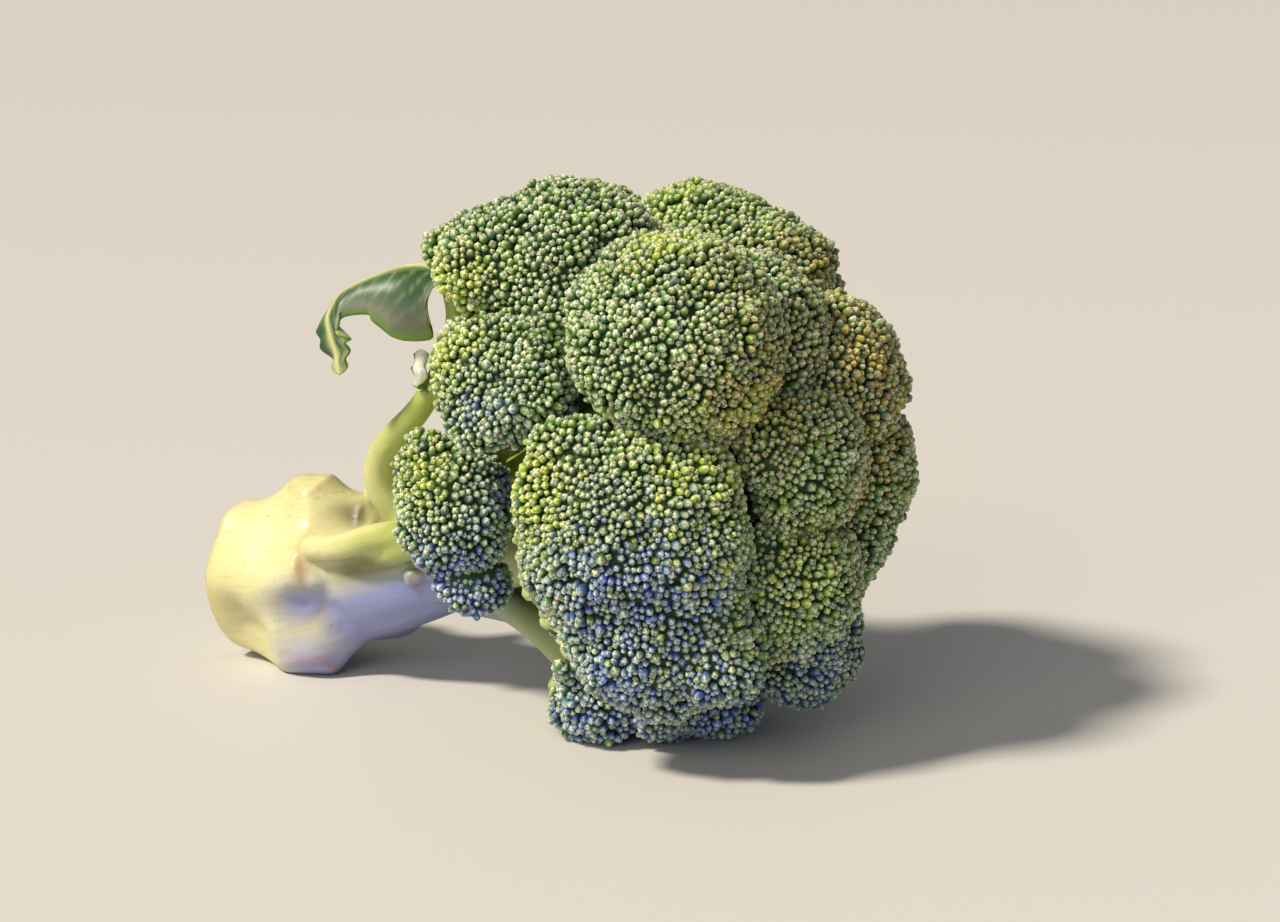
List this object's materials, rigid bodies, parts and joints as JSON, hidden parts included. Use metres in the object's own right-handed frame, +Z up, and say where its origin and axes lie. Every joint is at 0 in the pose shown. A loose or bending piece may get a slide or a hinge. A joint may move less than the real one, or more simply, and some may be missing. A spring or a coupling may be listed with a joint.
{
  "type": "broccoli head",
  "caption": "Cut broccoli head lying on its side: thick pale stalk that forks into branches, rounded florets packed with closed green buds, and small leaves.",
  "frame": {"origin": "centre of the bounding box at its base, on the surface that the head lies on", "axes": "+X from the stalk's cut end towards the crown, the longest extent; +Z up; -Y is the side that shows the largest floret"},
  "size_m": [0.189, 0.1262, 0.1346],
  "materials": {
    "stalk": "smooth waxy green-white skin with scars, cut end moist and fibrous",
    "buds": "matte, densely beaded with small waxy buds",
    "leaf": "thin waxy blade with pale veins and a paler underside"
  },
  "bodies": {
    "root": {"stalk": "stalk", "floret_top_front": "buds", "floret_upper_front": "buds", "floret_rim_front": "buds", "floret_front": "buds", "floret_low_front": "buds", "floret_top_back": "buds", "floret_tip": "buds", "floret_tip_front": "buds", "floret_nose": "buds", "floret_nose_back": "buds", "floret_nose_low": "buds", "floret_under_front": "buds", "floret_under": "buds", "floret_tip_top": "buds", "floret_back_upper": "buds", "floret_back": "buds", "floret_back_lower": "buds", "floret_rim_back": "buds", "floret_under_back": "buds", "floret_low_back": "buds", "floret_rim_top": "buds", "leaf_arched": "leaf", "leaf_small": "leaf"}
  },
  "joints": []
}
